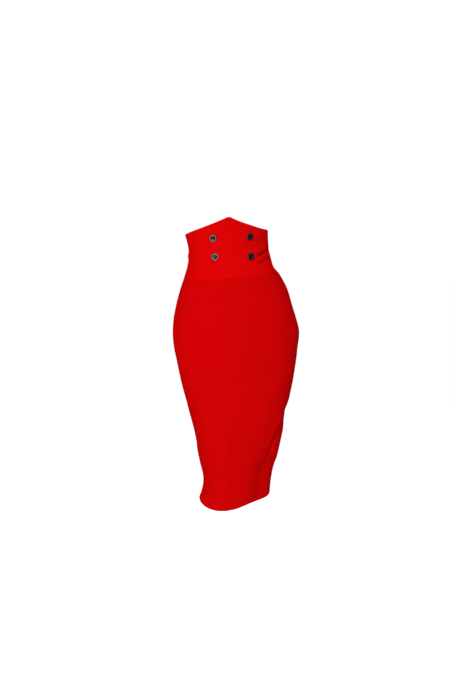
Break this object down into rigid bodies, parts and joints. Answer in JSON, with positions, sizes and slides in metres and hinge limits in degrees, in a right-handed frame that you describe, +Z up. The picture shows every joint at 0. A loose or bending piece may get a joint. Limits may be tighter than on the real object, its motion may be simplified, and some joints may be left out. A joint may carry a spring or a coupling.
{
  "type": "high-waisted pencil skirt",
  "caption": "Red high-waisted pencil skirt of midi length, shown open as worn: a deep pointed waistband with black buttons, a tapered skirt, a centre back zip and a walking slit.",
  "frame": {"origin": "middle of the waist, the skirt's narrowest ring, where the wearer holds it up", "axes": "+Z up; -Y towards the centre front; +X towards the wearer's left"},
  "size_m": [0.3615, 0.2202, 0.8245],
  "materials": {
    "cloth": "matt stretch suiting, plain weave",
    "buttons": "gloss",
    "zip_tape": "woven tape",
    "zip_metal": "polished nickel plate"
  },
  "bodies": {
    "skirt": {"waistband_front": "cloth", "waistband_back_left": "cloth", "waistband_back_right": "cloth", "skirt_front": "cloth", "skirt_back_left": "cloth", "skirt_back_right": "cloth", "button_upper_right": "buttons", "button_lower_right": "buttons", "button_upper_left": "buttons", "button_lower_left": "buttons", "zip_tape_left": "zip_tape", "zip_tape_right": "zip_tape", "zip_slider": "zip_metal"},
    "zip_pull": {"zip_pull": "zip_metal"}
  },
  "joints": [
    {"name": "zip_pull_hinge", "type": "hinge", "parent": "skirt", "child": "zip_pull", "pos_m": [-0.00573, 0.0923, 0.03996], "axis": [0.9881, 0.0209, 0.1525], "range_deg": [-2, 150]}
  ]
}
